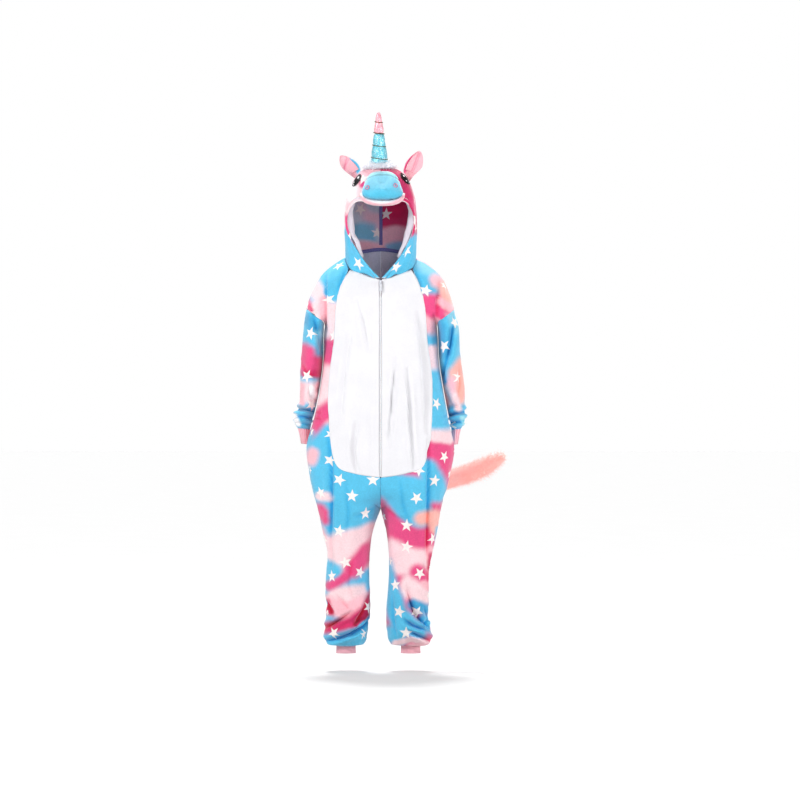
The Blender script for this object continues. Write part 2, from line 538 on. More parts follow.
# Creases the cloth takes between the large folds. Each: half width, depth, the side whose cloth bulges
# over it (1 is the left hand going along it, -1 the right, 0 neither), then across and height along it.
creases = {
    "front": [
        (0.0070, 0.0080, 1, (-0.183, 1.313), (-0.183, 1.228), (-0.183, 1.132)),
        (0.0070, 0.0080, 1, (0.196, 1.304), (0.190, 1.231), (0.186, 1.162)),
        (0.0085, 0.0095, 1, (-0.177, 0.795), (-0.163, 0.670), (-0.163, 0.554), (-0.167, 0.439),
         (-0.163, 0.353)),
        (0.0085, 0.0095, -1, (0.160, 0.762), (0.157, 0.604), (0.153, 0.439), (0.157, 0.307), (0.160, 0.241)),
        (0.0090, 0.0078, -1, (0.124, 1.185), (0.144, 0.987), (0.150, 0.848), (0.157, 0.789)),
        (0.0080, 0.0105, -1, (0.087, 1.000), (0.097, 0.828), (0.111, 0.676)),
        (0.0080, 0.0090, 1, (0.051, 1.033), (0.035, 0.848), (0.025, 0.752)),
        (0.0080, 0.0075, 0, (-0.021, 0.861), (-0.012, 0.769), (-0.012, 0.650)),
        (0.0080, 0.0095, 1, (-0.084, 0.818), (-0.091, 0.736), (-0.081, 0.663)),
        (0.0090, 0.0080, 1, (-0.101, 1.132), (-0.124, 0.967), (-0.134, 0.818)),
        (0.0085, 0.0075, -1, (-0.078, 1.231), (-0.054, 1.148), (-0.041, 1.066)),
        (0.0080, 0.0190, -1, (-0.025, 0.178), (-0.061, 0.145), (-0.097, 0.125), (-0.140, 0.109),
         (-0.186, 0.099)),
        (0.0075, 0.0115, -1, (-0.104, 0.191), (-0.140, 0.168), (-0.190, 0.139)),
        (0.0080, 0.0100, -1, (-0.041, 0.247), (-0.061, 0.195), (-0.094, 0.145)),
        (0.0070, 0.0120, -1, (-0.193, 0.244), (-0.173, 0.214), (-0.153, 0.175)),
        (0.0070, 0.0060, 1, (-0.028, 0.221), (-0.041, 0.181), (-0.068, 0.152)),
        (0.0070, 0.0040, 1, (-0.153, 0.254), (-0.124, 0.228), (-0.104, 0.201)),
        (0.0085, 0.0140, -1, (0.087, 0.267), (0.107, 0.198), (0.134, 0.165), (0.170, 0.135)),
        (0.0070, 0.0130, 1, (0.081, 0.168), (0.111, 0.148), (0.147, 0.132)),
        (0.0070, 0.0140, 1, (0.091, 0.132), (0.130, 0.116), (0.170, 0.099)),
        (0.0060, 0.0065, 1, (0.144, 0.208), (0.157, 0.172), (0.140, 0.142)),
        (0.0080, 0.0035, 1, (0.038, 0.254), (0.041, 0.175), (0.051, 0.109)),
        (0.0080, 0.0035, 1, (0.012, 0.548), (0.045, 0.518), (0.084, 0.498)),
        (0.0080, 0.0035, -1, (-0.015, 0.548), (-0.048, 0.525), (-0.087, 0.511)),
        (0.0090, 0.0030, 1, (-0.117, 0.630), (-0.107, 0.531), (-0.117, 0.422)),
        (0.0090, 0.0030, -1, (0.064, 0.630), (0.074, 0.554), (0.097, 0.478)),
        (0.0090, 0.0035, 1, (-0.094, 0.373), (-0.107, 0.290), (-0.094, 0.234)),
        (0.0070, 0.0060, -1, (-0.226, 1.188), (-0.213, 1.132), (-0.196, 1.059)),
        (0.0070, 0.0060, 1, (-0.239, 0.960), (-0.236, 0.924), (-0.219, 0.901), (-0.196, 0.894)),
        (0.0070, 0.0045, -1, (-0.200, 0.967), (-0.210, 0.934), (-0.206, 0.907)),
        (0.0070, 0.0045, 1, (-0.266, 1.026), (-0.246, 0.993), (-0.213, 0.977)),
        (0.0065, 0.0110, 1, (-0.299, 0.871), (-0.256, 0.868), (-0.200, 0.858)),
        (0.0065, 0.0110, 1, (-0.299, 0.848), (-0.252, 0.845), (-0.200, 0.838)),
        (0.0050, 0.0055, 1, (-0.295, 0.825), (-0.266, 0.822), (-0.226, 0.822)),
        (0.0080, 0.0090, 1, (0.243, 1.185), (0.233, 1.082), (0.210, 1.000), (0.200, 0.934)),
        (0.0080, 0.0050, -1, (0.259, 1.026), (0.262, 0.950), (0.252, 0.894)),
        (0.0070, 0.0045, 1, (0.219, 0.921), (0.233, 0.888), (0.262, 0.874)),
        (0.0065, 0.0140, 1, (0.210, 0.845), (0.246, 0.855), (0.292, 0.865)),
        (0.0065, 0.0120, 1, (0.213, 0.828), (0.249, 0.828), (0.292, 0.835)),
        (0.0050, 0.0055, 1, (0.216, 0.808), (0.252, 0.805), (0.289, 0.812)),
        (0.0070, 0.0050, 1, (-0.114, 1.337), (-0.134, 1.290), (-0.147, 1.257)),
        (0.0070, 0.0045, -1, (0.111, 1.337), (0.130, 1.297), (0.144, 1.257)),
    ],
    "hood": [
        (0.0060, 0.0065, -1, (0.120, 1.442), (0.111, 1.389), (0.091, 1.337)),
        (0.0060, 0.0040, 1, (0.078, 1.356), (0.058, 1.327), (0.038, 1.307)),
        (0.0070, 0.0040, 1, (-0.104, 1.502), (-0.104, 1.396)),
        (0.0060, 0.0035, -1, (-0.094, 1.356), (-0.061, 1.323), (-0.031, 1.307)),
    ],
    "back": [
        (0.009, 0.0070, 1, (-0.150, 1.250), (-0.120, 1.130), (-0.130, 0.980)),
        (0.009, 0.0070, -1, (0.150, 1.240), (0.125, 1.120), (0.128, 0.960)),
        (0.009, 0.0055, 1, (-0.060, 1.080), (-0.070, 0.930), (-0.110, 0.800)),
        (0.009, 0.0055, -1, (0.055, 1.060), (0.075, 0.900), (0.120, 0.780)),
        (0.009, 0.0070, -1, (-0.020, 0.600), (-0.070, 0.560), (-0.140, 0.550)),
        (0.009, 0.0070, 1, (0.020, 0.600), (0.070, 0.560), (0.140, 0.555)),
        (0.008, 0.0065, 1, (-0.040, 0.330), (-0.090, 0.290), (-0.150, 0.300)),
        (0.008, 0.0065, -1, (0.040, 0.340), (0.090, 0.300), (0.140, 0.315)),
        (0.008, 0.0090, -1, (-0.040, 0.170), (-0.100, 0.135), (-0.170, 0.125)),
        (0.008, 0.0090, 1, (0.030, 0.175), (0.090, 0.140), (0.155, 0.130)),
        (0.007, 0.0070, 1, (-0.170, 0.230), (-0.110, 0.190), (-0.060, 0.210)),
        (0.007, 0.0070, -1, (0.150, 0.235), (0.100, 0.195), (0.050, 0.215)),
        (0.008, 0.0050, 1, (-0.075, 0.480), (-0.085, 0.430), (-0.080, 0.370)),
        (0.008, 0.0050, -1, (0.080, 0.490), (0.085, 0.430), (0.078, 0.375)),
    ],
}
# how the cloth lies, in metres but for the shares: lip, bulge and deeper
clothLie = {
    "lip": 0.35,
    "bulge": 0.90,
    "soft": 0.0028,
    "softSize": (0.042, 0.042, 0.120),
    "hemTuck": 0.011,
    "fullDepth": 0.013,
    "deeper": 1.1,
    "small": 0.0008,
    "smallSize": 0.016,
}
# sleeves and body fill out towards each other between these heights, and leave this much clear
sideFill = {"low": (0.825, 0.85), "high": (1.13, 1.16), "clear": 0.0006, "most": 0.0065, "step": 0.008}
seamDip = {"reach": 0.0045, "depth": 0.0007, "pucker": 0.011}


def addObject(name, data):
    made = bpy.data.objects.new(name, data)
    bpy.context.collection.objects.link(made)
    return made


def meshOf(name, points, faces):
    mesh = bpy.data.meshes.new(name)
    mesh.from_pydata(np.concatenate(points).tolist(), [], faces)
    mesh.update()
    return mesh


def nearestTree(points):
    tree = KDTree(len(points))
    for i, point in enumerate(points):
        tree.insert(point, i)
    tree.balance()
    return tree


def gapsTo(points, others):
    # from each point to the nearest of the others
    tree = nearestTree(others)
    return np.array([tree.find(point)[2] for point in points])


def markRims(bm, crease):
    # rims of a cloth stay crisp when it is smoothed
    layer = bm.edges.layers.float.get("crease_edge") or bm.edges.layers.float.new("crease_edge")
    for edge in bm.edges:
        sharp = len(edge.link_faces) == 2 and edge.calc_face_angle() > math.radians(crease)
        edge[layer] = 1.0 if sharp else 0.0


def smoothMesh(piece, level):
    smooth = piece.modifiers.new("smooth", "SUBSURF")
    smooth.levels = smooth.render_levels = level
    smooth.uv_smooth = "NONE"
    shaped = piece.evaluated_get(bpy.context.evaluated_depsgraph_get())
    finished = bpy.data.meshes.new_from_object(shaped)
    piece.modifiers.clear()
    old, piece.data = piece.data, finished
    bpy.data.meshes.remove(old)


def smoothCopy(nodeName, level, crease=55, makeQuads=True, finerBelow=None):
    # the CAD node's own shape, merged, in quads, and smoothed; below finerBelow it gets twice the faces
    source = cadNodes[nodeName]
    bm = bmesh.new()
    bm.from_mesh(source.data)
    bmesh.ops.remove_doubles(bm, verts=bm.verts, dist=2e-5)
    if makeQuads:
        bmesh.ops.join_triangles(
            bm,
            faces=bm.faces,
            cmp_seam=False,
            cmp_sharp=False,
            cmp_uvs=False,
            cmp_vcols=False,
            cmp_materials=False,
            angle_face_threshold=math.radians(60),
            angle_shape_threshold=math.radians(70),
        )
    if crease:
        markRims(bm, crease)
    mesh = bpy.data.meshes.new(nodeName + "Cloth")
    bm.to_mesh(mesh)
    bm.free()
    piece = addObject(nodeName + "Cloth", mesh)
    if finerBelow is not None:
        smoothMesh(piece, 1)
        bm = bmesh.new()
        bm.from_mesh(piece.data)
        low = [edge for edge in bm.edges if all(vert.co.z < finerBelow for vert in edge.verts)]
        bmesh.ops.subdivide_edges(bm, edges=low, cuts=1, use_grid_fill=True)
        markRims(bm, crease)
        bm.to_mesh(piece.data)
        bm.free()
        level -= 1
    if level:
        smoothMesh(piece, level)
    piece.data.name = piece.name
    piece.data.shade_smooth()
    return piece


def readPoints(mesh, kind="vertices", field="co"):
    items = getattr(mesh, kind)
    values = np.empty(len(items) * 3)
    items.foreach_get(field, values)
    return values.reshape(-1, 3)


def vertexWays(mesh):
    return readPoints(mesh, field="normal")


def writePoints(mesh, points):
    mesh.vertices.foreach_set("co", points.ravel())
    mesh.update()


# the lines that the cloth stands round: legs, trunk and sleeves. Columns: across, back, height
bodyLines = {
    "legRight": ((-0.113, 0.004, 0.05), (-0.112, 0.004, 0.30), (-0.105, 0.008, 0.52)),
    "legLeft": ((0.097, 0.004, 0.05), (0.096, 0.004, 0.30), (0.102, 0.008, 0.52)),
    "trunk": ((0.0, 0.004, 0.66), (0.0, 0.0, 1.00), (0.0, 0.010, 1.28)),
    "sleeveRight": ((-0.190, 0.0, 1.18), (-0.232, 0.018, 1.00), (-0.254, 0.055, 0.84)),
    "sleeveLeft": ((0.190, 0.0, 1.18), (0.236, 0.018, 1.00), (0.254, 0.055, 0.84)),
}
headMiddle = np.array([0.0, 0.0, 1.545 - neckHeight])


def awayFrom(points, line):
    # the way out from a line through the cloth's middle, level with each point
    line = np.array(line)
    height = np.clip(points[:, 2] + neckHeight, line[:, 2].min(), line[:, 2].max())
    order = np.argsort(line[:, 2])
    middle = np.stack([np.interp(height, line[order, 2], line[order, k]) for k in (0, 1)], axis=1)
    way = points[:, :2] - middle
    return way / np.maximum(np.linalg.norm(way, axis=1, keepdims=True), 1e-6)


def clothWay(points, part):
    # the way out of the worn cloth at each point
    height = points[:, 2] + neckHeight
    if part.startswith("sleeve"):
        flat = awayFrom(points, bodyLines["sleeveRight" if "right" in part else "sleeveLeft"])
    else:
        right, left = (awayFrom(points, bodyLines[leg]) for leg in ("legRight", "legLeft"))
        legs = np.where(points[:, :1] < 0, right, left)
        share = softStep(height, 0.50, 0.68)[:, None]
        flat = legs * (1 - share) + awayFrom(points, bodyLines["trunk"]) * share
    way = np.concatenate([flat, np.zeros((len(points), 1))], axis=1)
    up = softStep(height, 1.22, 1.40)
    way[:, 2] = 1.2 * up if not part.startswith("sleeve") else 0.25
    return way / np.maximum(np.linalg.norm(way, axis=1, keepdims=True), 1e-6)


def pathGap(across, height, path):
    # how far each place lies from a line through the path's places, how far along it, and on which hand
    path = np.array(path)
    place = np.stack([across, height], axis=1)
    if len(path) == 1:
        return np.linalg.norm(place - path[0], axis=1), np.zeros(len(place)), np.zeros(len(place))
    lengths = np.linalg.norm(np.diff(path, axis=0), axis=1)
    run = np.concatenate([[0], np.cumsum(lengths)]) / lengths.sum()
    best = np.full(len(place), 9.0)
    share, hand = np.zeros(len(place)), np.zeros(len(place))
    for k in range(len(path) - 1):
        way = path[k + 1] - path[k]
        off = place - path[k]
        t = np.clip((off @ way) / (way @ way), 0, 1)
        gap = np.linalg.norm(off - t[:, None] * way, axis=1)
        nearer = gap < best
        best = np.where(nearer, gap, best)
        share = np.where(nearer, run[k] + t * (run[k + 1] - run[k]), share)
        hand = np.where(nearer, (way[0] * off[:, 1] - way[1] * off[:, 0]) / lengths[k], hand)
    return best, share, hand


def creaseDepth(across, height, crease):
    # how deep a crease is at each place: a valley, a soft lip on each side, and cloth that bulges over one
    halfWidth, depth, bulging, *path = crease
    gap, share, hand = pathGap(across, height, path)
    fade = np.clip(np.sin(np.pi * (0.06 + 0.88 * share)), 0, 1) ** 0.7
    valley = -0.6 * np.exp(-((gap / halfWidth) ** 2)) - 0.5 * np.exp(-((gap / (0.4 * halfWidth)) ** 2))
    lip = clothLie["lip"] * np.exp(-(((gap - 2.1 * halfWidth) / (0.9 * halfWidth)) ** 2))
    over = softStep(bulging * hand, 0, halfWidth) if bulging else 0
    bulge = clothLie["bulge"] * over * np.exp(-(((gap - 1.6 * halfWidth) / (1.5 * halfWidth)) ** 2))
    return depth * fade * (valley + lip * (1 - over) + bulge)


def creaseShare(points, part):
    # 1 down in the deep creases, where the pile shuts and the dye looks deeper
    across, height = seenFrom(points)
    front = softStep(-clothWay(points, part)[:, 1], -0.10, 0.30)
    total = np.zeros(len(points))
    for halfWidth, depth, _, *path in creases["front"]:
        gap, share, _ = pathGap(across, height, path)
        fade = np.clip(np.sin(np.pi * (0.06 + 0.88 * share)), 0, 1)
        total += front * fade * depth / clothLie["fullDepth"] * np.exp(-((gap / (0.7 * halfWidth)) ** 2))
    return np.clip(total, 0, 1)


def sideShare(points, part):
    # 1 where a sleeve and the body face each other, 0 away from there
    height = points[:, 2] + neckHeight
    outwards = clothWay(points, part)[:, 0] * np.sign(points[:, 0])
    towards = -outwards if part.startswith("sleeve") else outwards
    level = softStep(height, *sideFill["low"]) * (1 - softStep(height, *sideFill["high"]))
    if not part.startswith("sleeve"):
        level = level * (1 - softStep(np.abs(points[:, 1]), 0.025, 0.060))
    return level * softStep(towards, 0.45, 0.85)


def closeSides():
    # measures the space between each sleeve and the body at every height, and shares it between them
    levels = np.arange(sideFill["low"][0], sideFill["high"][1], sideFill["step"])
    for side, way in (("right", -1), ("left", 1)):
        edges = []
        for parts, outermost in ((("sleeve_",), False), (("front_", "back_"), True)):
            points = np.concatenate([readPoints(cloth[part + side].data) for part in parts])
            across, height = points[:, 0] * way, points[:, 2] + neckHeight
            row = []
            for level in levels:
                near = across[np.abs(height - level) < sideFill["step"]]
                row.append(near.max() if outermost else near.min())
            edges.append(np.array(row))
        gap = np.clip((edges[0] - edges[1] - sideFill["clear"]) / 2, -0.001, sideFill["most"])
        gap = np.convolve(np.pad(gap, 2, "edge"), np.ones(5) / 5, "valid")
        for part, turn in (("sleeve_", -way), ("front_", way), ("back_", way)):
            piece = cloth[part + side]
            points = readPoints(piece.data)
            fill = np.interp(points[:, 2] + neckHeight, levels, gap) * sideShare(points, part + side)
            points[:, 0] += turn * fill
            writePoints(piece.data, points)
        print("space beside the", side, "sleeve, at most:", round(float((edges[0] - edges[1]).max()), 4))


def clothLift(points, part):
    # how far the worn cloth stands off the plain form, in metres along clothWay
    across, height = seenFrom(points)
    facing = clothWay(points, part)[:, 1]
    front = softStep(-facing, -0.10, 0.30)
    back = softStep(facing, 0.10, 0.40)
    lift = np.zeros(len(points))
    for crease in creases["front"]:
        lift += front * creaseDepth(across, height, crease)
    for crease in creases["back"]:
        lift += back * creaseDepth(points[:, 0], points[:, 2] + neckHeight, crease)
    size = np.array(clothLie["softSize"])
    lift += clothLie["soft"] * clouds(points / size, 1.0, 21)
    busy = softStep(height, 0.30, 0.10) + 0.5 * np.exp(-(((height - 0.56) / 0.05) ** 2)) + 0.35
    lift -= clothLie["hemTuck"] * softStep(0.116 - height, 0, 0.036) ** 2
    lift += clothLie["small"] * busy * clouds(points, clothLie["smallSize"], 22) * 2
    quiet = 1 - (1 - softStep(np.abs(points[:, 0]), 0.006, 0.030)) * front
    # where a sleeve and the body face each other the cloth lies smooth; closeSides fills it out
    return lift * quiet * (1 - sideShare(points, part))


def drapeCloth(piece, part):
    points = readPoints(piece.data)
    writePoints(piece.data, points + clothWay(points, part) * clothLift(points, part)[:, None])


def strewStrokes(part, side, count):
    # other patches for a panel's print, drawn from the panel's own name
    pick = random.Random(part)
    strokes = []
    for k in range(count):
        x, h = side * pick.uniform(0.02, 0.22), pick.uniform(0.15, 1.32)
        turn, long = pick.uniform(0, math.pi), pick.uniform(0.03, 0.08)
        end = (x + long * math.cos(turn), h + long * math.sin(turn))
        strokes.append((pick.choice(["cyan", "hot", "pale", "pink", "magenta", "cyan"]), 0.028, (x, h), end))
    return strokes


def dyeCloth(piece, part):
    # the colour of the panel's print at each of its points
    cut, look = printCut[part], printCloth
    points = readPoints(piece.data)
    across, height = seenFrom(points)
    fray = look["fray"] * clouds(points, look["fraySize"], look["seed"] + 1)
    across = across + look["wander"] * clouds(points, look["wanderSize"], look["seed"]) + fray
    height = height + look["wander"] * clouds(points, look["wanderSize"], look["seed"] + 2) + fray
    slanted = height + cut.get("slope", 0.0) * (across - np.sign(across.mean()) * 0.2)
    colour = np.zeros((len(points), 3))
    for top, dye in cut["bands"]:
        share = softStep(top - slanted, -look["soft"], look["soft"])[:, None]
        colour += (dyes[dye] - colour) * share
    strokes = cut.get("strokes", ())
    if isinstance(strokes, int):
        strokes = strewStrokes(part, np.sign(across.mean()), strokes)
    for dye, halfWidth, *path in strokes:
        gap = pathGap(across, height, path)[0]
        soft = min(look["soft"], 0.6 * halfWidth)
        share = softStep(halfWidth - gap, -soft, soft)[:, None]
        colour += (dyes[dye] - colour) * share
    if part in ("hood_right", "hood_left"):
        colour = np.where(wrongSides[part][:, None] < 0.5, colour, insideHood(points))
    if part.startswith(("hood_edge", "ear_outer")):
        # their turned edges show the cloth's white ground
        rim = 0.8 * softStep(nearRims(piece, 0.004), 0.1, 0.7)
        colour = colour + (dyes["white"] - colour) * rim[:, None]
    if part in bodyPanels:
        # the wrong side of the fleece, seen in at the neck, is plain and greyer
        inwards = wrongSides[part][:, None]
        colour = colour + (dyes["lining"] - colour) * inwards * look["wrongSide"]
        colour = colour ** (1 + clothLie["deeper"] * creaseShare(points, part)[:, None])
    return colour


def setColours(piece, colour):
    layer = piece.data.color_attributes.new("print", "FLOAT_COLOR", "POINT")
    layer.data.foreach_set("color", np.concatenate([colour, np.ones((len(colour), 1))], axis=1).ravel())


def place(piece, body="garment", material=None, replaces=(), slot=None):
    if material:
        piece.data.materials.clear()
        piece.data.materials.append(finishes[material])
    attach(piece, body)
    if replaces:
        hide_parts(*replaces)
    return piece


def findRims(mesh):
    # points along the panel's cut edges: those where the cloth's two walls meet
    rims = set()
    normals = [face.normal.copy() for face in mesh.polygons]
    beside = {}
    for face in mesh.polygons:
        for key in face.edge_keys:
            beside.setdefault(key, []).append(normals[face.index])
    for key, ways in beside.items():
        if len(ways) == 2 and ways[0].angle(ways[1], 0) > math.radians(50):
            rims.update(key)
    return sorted(rims)


def nearRims(piece, reach):
    # 1 at the cut edges of a cloth, 0 from this reach on
    rims = findRims(piece.data)
    points = readPoints(piece.data)
    if not rims:
        return np.zeros(len(points))
    return np.clip(1 - gapsTo(points, points[rims]) / reach, 0, 1)


def tuckSeams(piece, part):
    # the cloth dips where it is sewn, and puckers along the seam
    points = readPoints(piece.data)
    share = nearRims(piece, seamDip["reach"]) ** 2
    depth = seamDip["depth"] * (1 + 0.8 * clouds(points, seamDip["pucker"], 31))
    writePoints(piece.data, points - clothWay(points, part) * (share * depth)[:, None])


starPlaces = []


def strewStars(pieces):
    # places the seen stars by the camera's rays, then strews others over the rest of the cloth
    pick = random.Random(stars["seed"])
    points, faces, owners = [], [], []
    for piece in pieces:
        first = len(points)
        points += [vert.co.copy() for vert in piece.data.vertices]
        faces += [[first + i for i in face.vertices] for face in piece.data.polygons]
        owners += [piece["part"]] * len(piece.data.polygons)
    tree = BVHTree.FromPolygons(points, faces)
    camera = Vector((cameraPlace["across"], -cameraPlace["away"], cameraPlace["height"] - neckHeight))
    for across, height in stars["front"]:
        way = (Vector((across, 0, height - neckHeight)) - camera).normalized()
        hit, _, index, _ = tree.ray_cast(camera, way)
        if hit is not None:
            # a star lies along the worn shape, not along each fold
            lie = Vector(clothWay(np.array([hit]), owners[index])[0])
            if owners[index].startswith("hood"):
                lie = (hit - Vector(headMiddle)).normalized()
            lie = (lie if lie.dot(way) < 0 else -lie) - way * stars["turnedToFront"]
            starPlaces.append((hit, lie.normalized(), pick.uniform(0, 6.28), 1.0))
    seen = len(starPlaces)
    centres = []
    for piece in pieces:
        part = piece["part"]
        middles = readPoints(piece.data, "polygons", "center")
        ways = clothWay(middles, part)
        for face, way in zip(piece.data.polygons, ways):
            if face.normal.dot(Vector(way)) > 0.5:
                centres.append((face.center.copy(), face.normal.copy()))
    pick.shuffle(centres)
    taken = [place[0] for place in starPlaces]
    for centre, normal in centres:
        # the front keeps the stars placed above
        if normal.y < -0.35 and centre.z < 0.02:
            continue
        if all((centre - other).length > stars["apart"] for other in taken):
            taken.append(centre)
            starPlaces.append((centre, normal, pick.uniform(0, 6.28), pick.uniform(0.75, 1.0)))
    print("stars on the cloth:", seen, "seen and", len(starPlaces) - seen, "strewn")


def mapStars(piece):
    # gives every face a map in which its nearest star runs from -1 to 1
    tree = nearestTree([star[0] for star in starPlaces])
    mesh = piece.data
    part = piece.get("part", "")
    # a body panel's wrong side is plain
    plain = wrongSides[part] if part in bodyPanels else np.zeros(len(mesh.vertices))
    layer = mesh.uv_layers.new(name="starPlace")
    values = np.full((len(mesh.loops), 2), 9.0)
    points = readPoints(mesh)
    frames = []
    for centre, normal, turn, size in starPlaces:
        side = normal.orthogonal().normalized()
        up = normal.cross(side)
        radius = stars["radius"] * size
        first = (side * math.cos(turn) + up * math.sin(turn)) / radius
        second = (up * math.cos(turn) - side * math.sin(turn)) / radius
        frames.append((np.array(centre), np.array(first), np.array(second), normal))
    for face in mesh.polygons:
        i, gap = tree.find(face.center)[1:]
        centre, first, second, normal = frames[i]
        if plain[face.vertices[0]] > 0.5 or gap > stars["reach"] or face.normal.dot(normal) < 0.05:
            continue
        for loop in face.loop_indices:
            off = points[mesh.loops[loop].vertex_index] - centre
            values[loop] = (off @ first, off @ second)
    layer.data.foreach_set("uv", values.ravel())


# the print inside the hood, by across and height: a cyan patch on the right, rose from these heights down on
# the right and left, and a cyan foot on the left
hoodPrint = {
    "wander": 0.014,
    "patch": {"from": -0.018, "middle": 1.466, "half": 0.030, "share": 0.75},
    "rose": (1.430, 1.482),
    "foot": {"from": 0.005, "full": 0.025, "top": 1.424, "share": 0.8},
}


def insideHood(points):
    # the hood's other side: dusky print seen through its opening
    patch, foot = hoodPrint["patch"], hoodPrint["foot"]
    across = points[:, 0]
    height = points[:, 2] + neckHeight + hoodPrint["wander"] * clouds(points, 0.05, 41)
    cloudy = softStep(clouds(points, 0.07, 42), 0.0, 0.5)[:, None]
    right = dyes["shade"] + (dyes["mauve"] - dyes["shade"]) * cloudy
    level = softStep(patch["half"] - np.abs(height - patch["middle"]), -0.010, 0.010)
    level = level * softStep(patch["from"] - across, -0.010, 0.010)
    right += (dyes["cyan"] - right) * patch["share"] * level[:, None]
    cloudy = softStep(clouds(points, 0.06, 43), 0.1, 0.7)[:, None]
    left = dyes["wine"] + (dyes["magenta"] - dyes["wine"]) * cloudy
    inside = np.where(across[:, None] < 0, right, left)
    low = softStep(np.where(across < 0, *hoodPrint["rose"]) - height, -0.012, 0.012)[:, None]
    inside = inside + (dyes["rose"] - inside) * low
    level = softStep(foot["top"] - height, -0.010, 0.010) * softStep(across, foot["from"], foot["full"])
    return inside + (dyes["cyan"] - inside) * foot["share"] * level[:, None]


# the hood's edge is drawn up beside the snout
hoodLift = {"across": 0.084, "height": 1.548, "reach": 0.034, "lift": 0.014}


def liftHood(points):
    # takes points of the hood, or of what is sewn to its edge, to where the drawn-up cloth puts them
    points = points.copy()
    aside = np.exp(-(((np.abs(points[:, 0]) - hoodLift["across"]) / hoodLift["reach"]) ** 2))
    level = np.exp(-(((points[:, 2] + neckHeight - hoodLift["height"]) / hoodLift["reach"]) ** 2))
    points[:, 2] += hoodLift["lift"] * aside * level * softStep(-points[:, 1], 0.04, 0.08)
    return points


def hoodOutside(piece):
    # true at the points of the hood's outer wall
    mesh = piece.data
    return np.sum(vertexWays(mesh) * (readPoints(mesh) - headMiddle), axis=1) > 0


# Each panel of fleece as it was cut flat: width, length and the share of that rectangle it fills
bodyPanels = ["front_right", "front_left", "back_right", "back_left", "sleeve_right", "sleeve_left"]
hoodPanels = ["hood_right", "hood_left", "hood_edge_right", "hood_edge_left"]
bellyPanels = ["belly_right", "belly_left"]
cloth = {}
wrongSides = {}  # 1 at the points of a panel's inner wall that show plain or dusky cloth
# below these heights the folds are close, so the panels get finer faces
finerBelow = {"front": 0.27, "back": 0.22, "sleeve": 0.93}
neckInside = (1.250, 1.270)  # the wrong side shows plain from here up
hoodFold = {"back": 0.03, "below": 1.462, "aside": 0.05}  # the hood's front lower corners fold outwards

for name in bodyPanels + bellyPanels:
    low = finerBelow.get(name.split("_")[0])
    piece = cloth[name] = smoothCopy(name, 3, finerBelow=low - neckHeight if low else None)
    piece["part"] = name
    points = readPoints(piece.data)
    facing = np.sum(vertexWays(piece.data) * clothWay(points, name), axis=1)
    wrongSides[name] = softStep(-facing, 0.0, 0.4) * softStep(points[:, 2] + neckHeight, *neckInside)
    tuckSeams(piece, name)
    drapeCloth(piece, name)
closeSides()
# the belly's two edges nearly meet over the zip, below its slider
zipFlaps = {"over": 0.0023, "within": 0.020, "top": (1.235, 1.252)}
for name in bellyPanels:
    points = readPoints(cloth[name].data)
    near = softStep(zipFlaps["within"] - np.abs(points[:, 0]), 0, 0.012)
    under = 1 - softStep(points[:, 2] + neckHeight, *zipFlaps["top"])
    points[:, 0] -= np.sign(points[:, 0]) * zipFlaps["over"] * near * under
    writePoints(cloth[name].data, points)
print("garment's panels draped")

for name in hoodPanels:
    piece = cloth[name] = smoothCopy(name, 3)
    piece["part"] = name
    points = readPoints(piece.data)
    folded = (points[:, 1] < hoodFold["back"]) & (np.abs(points[:, 0]) > hoodFold["aside"])
    folded &= points[:, 2] + neckHeight < hoodFold["below"]
    wrongSides[name] = 1.0 - (hoodOutside(piece) | folded)
    away = points - headMiddle
    away /= np.linalg.norm(away, axis=1, keepdims=True)
    lift = 0.0012 * clouds(points, 0.030, 23) + 0.0004 * clouds(points, 0.012, 24)
    front = softStep(-points[:, 1], 0.00, 0.03)
    for crease in creases["hood"]:
        lift += front * creaseDepth(*seenFrom(points), crease)
    writePoints(piece.data, liftHood(points + away * lift[:, None]))
print("hood shaped")

strewStars([cloth[name] for name in bodyPanels + hoodPanels])
for name in bodyPanels + hoodPanels:
    piece = cloth[name]
    setColours(piece, dyeCloth(piece, name))
    mapStars(piece)
    place(piece, material="print", replaces=[name], slot="printed_fleece")
for name in bellyPanels:
    place(cloth[name], material="belly", replaces=[name], slot="white_fleece")
print("print laid on the cloth")

# Rib cuffs: a knit tube with its own map, around and along in metres
for name in ("sleeve_cuff_right", "sleeve_cuff_left", "leg_cuff_right", "leg_cuff_left"):
    piece = smoothCopy(name, 3)
    mesh = piece.data
    points = readPoints(mesh)
    low, high = points.min(axis=0), points.max(axis=0)
    middle = (low + high) / 2
    radius = (high[0] - low[0]) / 2
    layer = mesh.uv_layers.new(name="cloth")
    values = np.zeros((len(mesh.loops), 2))
    for face in mesh.polygons:
        turns = [math.atan2(points[v][1] - middle[1], points[v][0] - middle[0]) for v in face.vertices]
        if max(turns) - min(turns) > math.pi:
            turns = [turn + 2 * math.pi if turn < 0 else turn for turn in turns]
        for loop, turn, v in zip(face.loop_indices, turns, face.vertices):
            values[loop] = (turn * radius, points[v][2])
    layer.data.foreach_set("uv", values.ravel())
    place(piece, material="rib", replaces=[name], slot="rib_knit")

